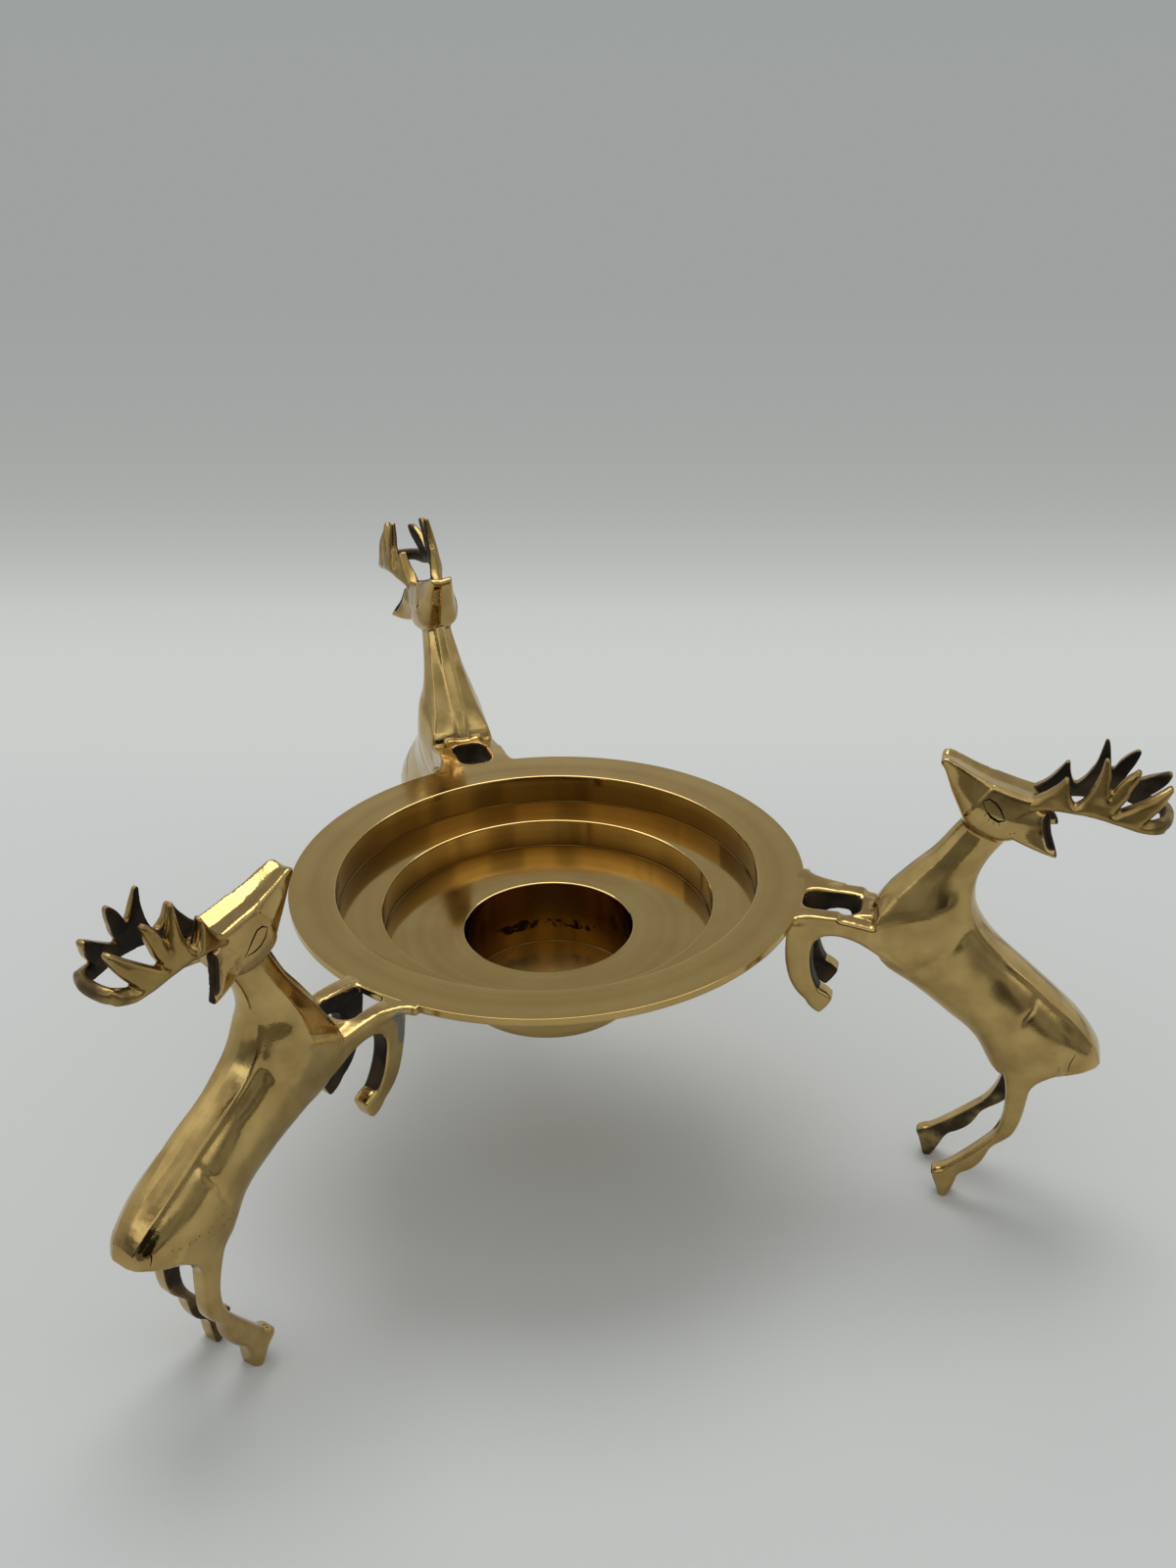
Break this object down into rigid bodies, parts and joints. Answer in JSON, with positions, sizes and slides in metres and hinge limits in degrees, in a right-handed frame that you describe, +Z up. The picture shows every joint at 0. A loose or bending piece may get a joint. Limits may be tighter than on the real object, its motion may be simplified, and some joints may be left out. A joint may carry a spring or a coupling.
{
  "type": "deer candle holder",
  "caption": "Turned brass dish with a tea light well and stepped pillar candle recesses, carried at its rim by the knees of rearing stags with branching antlers.",
  "frame": {"origin": "the middle of the tea light well's floor", "axes": "+Z up, square to the table that the hind hooves stand on; the first stag stands 13 degrees from +X towards -Y"},
  "size_m": [0.2239, 0.2451, 0.1213],
  "materials": {
    "turned_brass": "turned and lacquered brass with faint lathe rings, satin on the rim and brighter on the walls",
    "polished_brass": "cast brass polished by hand on its outer faces, with a few casting pores, left dark on the inner faces",
    "cast_brass": "brass as cast, dull and dark between the tines, rubbed bright on the outer faces"
  },
  "bodies": {
    "root": {"dish": "turned_brass", "stag_1_body": "polished_brass", "stag_1_antlers": "cast_brass", "stag_1_foreleg_left": "polished_brass", "stag_1_hind_leg_left": "polished_brass", "stag_1_foreleg_right": "polished_brass", "stag_1_hind_leg_right": "polished_brass", "stag_2_body": "polished_brass", "stag_2_antlers": "cast_brass", "stag_2_foreleg_left": "polished_brass", "stag_2_hind_leg_left": "polished_brass", "stag_2_foreleg_right": "polished_brass", "stag_2_hind_leg_right": "polished_brass", "stag_3_body": "polished_brass", "stag_3_antlers": "cast_brass", "stag_3_foreleg_left": "polished_brass", "stag_3_hind_leg_left": "polished_brass", "stag_3_foreleg_right": "polished_brass", "stag_3_hind_leg_right": "polished_brass"}
  },
  "joints": []
}
